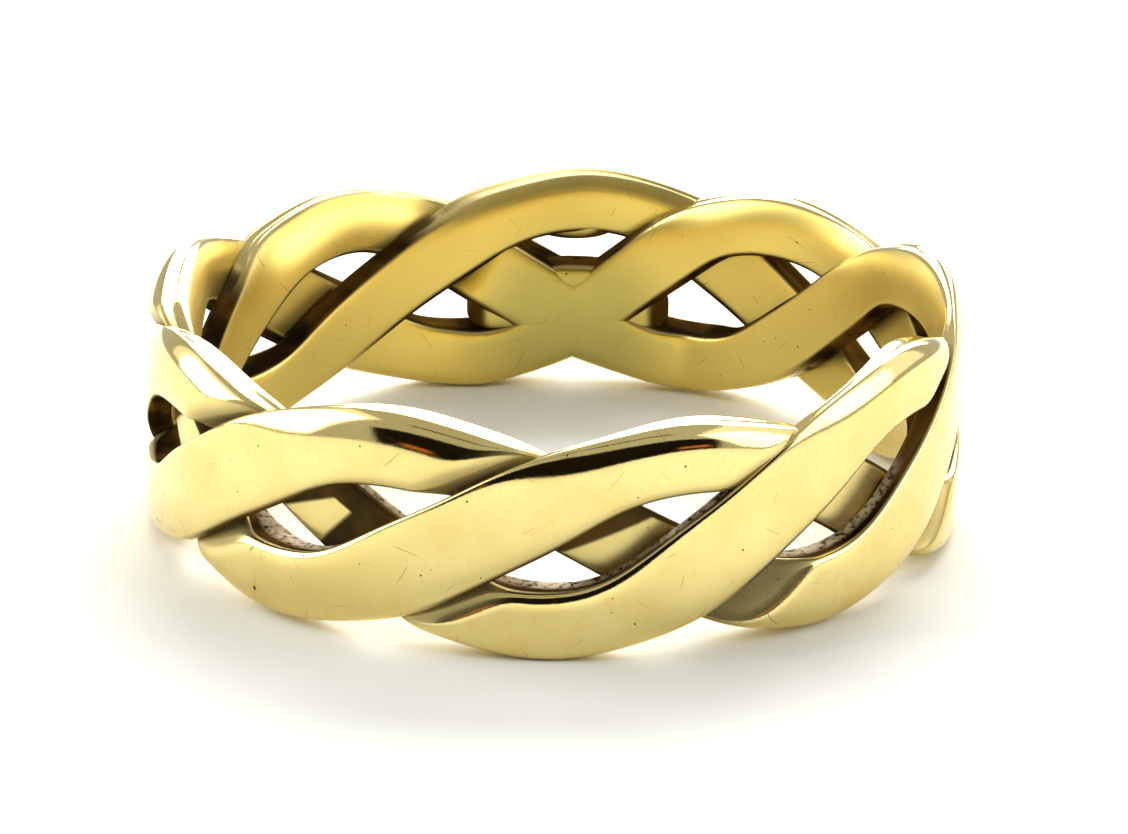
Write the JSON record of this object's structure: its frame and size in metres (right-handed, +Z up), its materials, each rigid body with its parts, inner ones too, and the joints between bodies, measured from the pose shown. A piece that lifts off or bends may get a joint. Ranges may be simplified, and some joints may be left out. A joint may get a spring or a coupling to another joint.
{
  "type": "plaited finger ring",
  "caption": "Open finger ring of gold strands plaited flat into a band, soldered where the ends meet, lying on its side.",
  "frame": {"origin": "on the table under the ring's middle, on the finger's axis", "axes": "+Z up along the finger's axis, the ring lying on its side; -Y towards the side that is shown first; +X to the right from there"},
  "size_m": [0.021, 0.021, 0.0064],
  "materials": {
    "gold_strand_a": "worn polish, pale yellow gold",
    "gold_strand_b": "worn polish, pale yellow gold",
    "gold_strand_c": "worn polish, pale yellow gold"
  },
  "bodies": {
    "root": {"strand_a": "gold_strand_a", "strand_b": "gold_strand_b", "strand_c": "gold_strand_c"}
  },
  "joints": []
}
